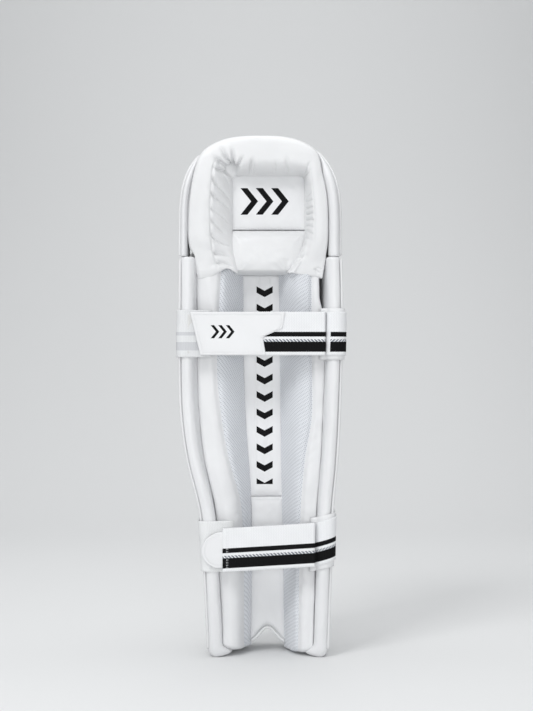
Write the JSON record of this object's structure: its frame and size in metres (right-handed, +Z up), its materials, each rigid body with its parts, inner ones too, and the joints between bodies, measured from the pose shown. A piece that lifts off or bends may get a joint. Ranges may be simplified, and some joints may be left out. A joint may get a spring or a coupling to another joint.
{
  "type": "cricket leg pad",
  "caption": "White padded cricket leg guard that stands on its lower edge, open at the back between its side wings, with a flexing knee section and elastic webbing straps",
  "frame": {"origin": "on the floor, at the centre of the standing pad's footprint box", "axes": "+Z up the shin, +Y out of the front face that meets the ball, -Y out of the open side that takes the leg, +X to the right seen from the open side"},
  "size_m": [0.1959, 0.1089, 0.6],
  "materials": {
    "pu_cover": "white coated synthetic leather, soft sheen",
    "mesh": "knitted spacer mesh",
    "cane": "bare cane",
    "webbing": "woven elastic, white with black stripes",
    "hook_and_loop": "hook and loop tape",
    "elastic": "white woven band",
    "piping": "white piping",
    "foam": "closed-cell foam and wadding",
    "strap_tab": "white coated synthetic leather"
  },
  "bodies": {
    "shin": {"shin_cover": "pu_cover", "shin_wadding": "foam", "shin_canes": "cane", "shin_board": "foam", "centre_pad": "foam", "centre_lining": "pu_cover", "centre_patch": "pu_cover", "bolster_left_cover": "pu_cover", "bolster_left_mesh": "mesh", "bolster_left_core": "foam", "bolster_right_cover": "pu_cover", "bolster_right_mesh": "mesh", "bolster_right_core": "foam", "instep_piping": "piping"},
    "knee": {"knee_board": "foam", "knee_roll_low": "pu_cover", "knee_roll_middle": "pu_cover", "knee_roll_high": "pu_cover", "knee_roll_cores": "foam", "top_cover": "pu_cover", "top_pad": "foam", "horseshoe_cover": "pu_cover", "horseshoe_core": "foam", "knee_patch_panel": "pu_cover", "knee_patch_foam": "foam", "lower_knee_pad_cover": "pu_cover", "lower_knee_pad_core": "foam", "knee_wing_left_cover": "pu_cover", "knee_wing_left_core": "foam", "knee_wing_left_piping": "piping", "knee_wing_right_cover": "pu_cover", "knee_wing_right_core": "foam", "knee_wing_right_piping": "piping"},
    "wing_left": {"wing_left_cover": "pu_cover", "wing_left_core": "foam", "wing_left_piping": "piping", "upper_landing_band": "elastic", "upper_loop_patch": "hook_and_loop", "lower_landing_band": "elastic", "lower_loop_patch": "hook_and_loop"},
    "wing_right": {"wing_right_cover": "pu_cover", "wing_right_core": "foam", "wing_right_piping": "piping", "upper_keeper": "elastic", "upper_strap_anchor": "webbing", "lower_keeper": "elastic", "lower_strap_anchor": "webbing"},
    "upper_strap": {"upper_strap_webbing": "webbing", "upper_strap_tab": "strap_tab", "upper_hook_patch": "hook_and_loop"},
    "lower_strap": {"lower_strap_webbing": "webbing", "lower_strap_tab": "strap_tab", "lower_hook_patch": "hook_and_loop"}
  },
  "joints": [
    {"name": "knee_flex", "type": "hinge", "parent": "shin", "child": "knee", "pos_m": [0, 0.045, 0.436], "axis": [1, 0, 0], "range_deg": [-15, 0]},
    {"name": "wing_left_flex", "type": "hinge", "parent": "shin", "child": "wing_left", "pos_m": [-0.054, 0.008, 0], "axis": [0.0457, 0, -0.999], "range_deg": [0, 14]},
    {"name": "wing_right_flex", "type": "hinge", "parent": "shin", "child": "wing_right", "pos_m": [0.068, 0.008, 0], "axis": [0.0183, 0, 0.9998], "range_deg": [0, 14]},
    {"name": "upper_strap_open", "type": "hinge", "parent": "wing_right", "child": "upper_strap", "pos_m": [0.0759, -0.0516, 0.372], "axis": [0, 0, 1], "range_deg": [0, 115]},
    {"name": "lower_strap_open", "type": "hinge", "parent": "wing_right", "child": "lower_strap", "pos_m": [0.064, -0.0532, 0.132], "axis": [0, 0, 1], "range_deg": [0, 115]}
  ]
}
